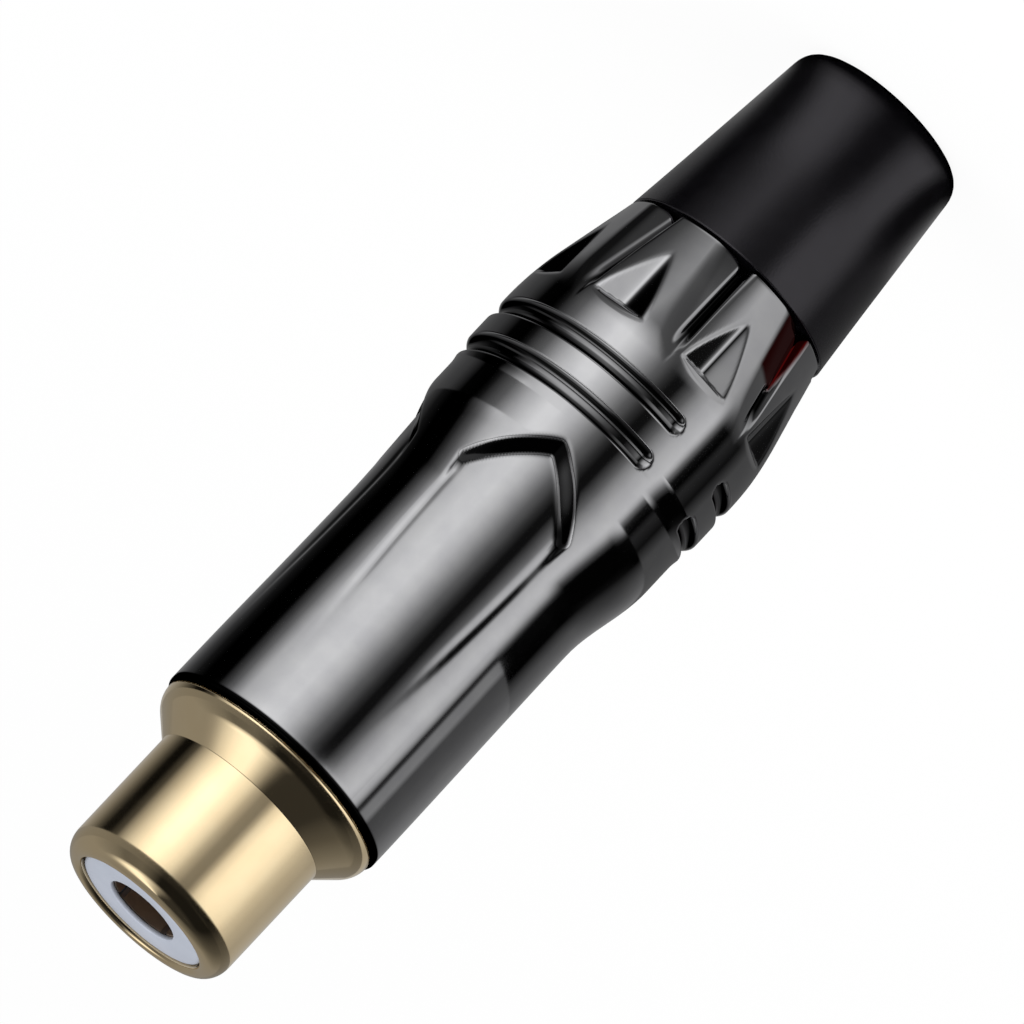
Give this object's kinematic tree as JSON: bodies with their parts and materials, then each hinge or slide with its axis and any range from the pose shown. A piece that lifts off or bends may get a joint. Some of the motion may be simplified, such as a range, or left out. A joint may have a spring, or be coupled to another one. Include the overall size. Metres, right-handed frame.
{
  "type": "rca socket",
  "caption": "Inline cable socket with a plated barrel, an insulated centre contact, a screwed grip shell and a rubber boot.",
  "frame": {"origin": "centre of the boot's end face, where the socket stands", "axes": "+Z along the socket's axis from the boot to the mouth; -Y through the middle of one of the shell's panels"},
  "size_m": [0.0126, 0.0126, 0.0461],
  "materials": {
    "gold_plate": "polished gold plate",
    "contact_plate": "bright gold plate",
    "nylon": "matt moulded nylon",
    "sleeve": "matt thin plastic tube",
    "black_chrome": "black chrome, mirror bright",
    "boot_rubber": "matt charcoal rubber"
  },
  "bodies": {
    "jack": {"jack_barrel": "gold_plate", "front_insulator": "nylon", "rear_insulator": "nylon", "centre_contact": "contact_plate", "ground_tag": "contact_plate", "insulating_sleeve": "sleeve"},
    "boot": {"boot": "boot_rubber"},
    "shell": {"shell": "black_chrome"}
  },
  "joints": [
    {"name": "shell_travel", "type": "slide", "parent": "jack", "child": "boot", "axis": [0, 0, -1], "range_m": [0, 0.0045]},
    {"name": "shell_unscrew", "type": "hinge", "parent": "boot", "child": "shell", "pos_m": [0, 0, 0.024], "axis": [0, 0, -1], "range_deg": [0, 2160]}
  ],
  "couplings": [
    {"joint": "shell_travel", "follows": "shell_unscrew", "m_per_rad": 0.00011937}
  ]
}
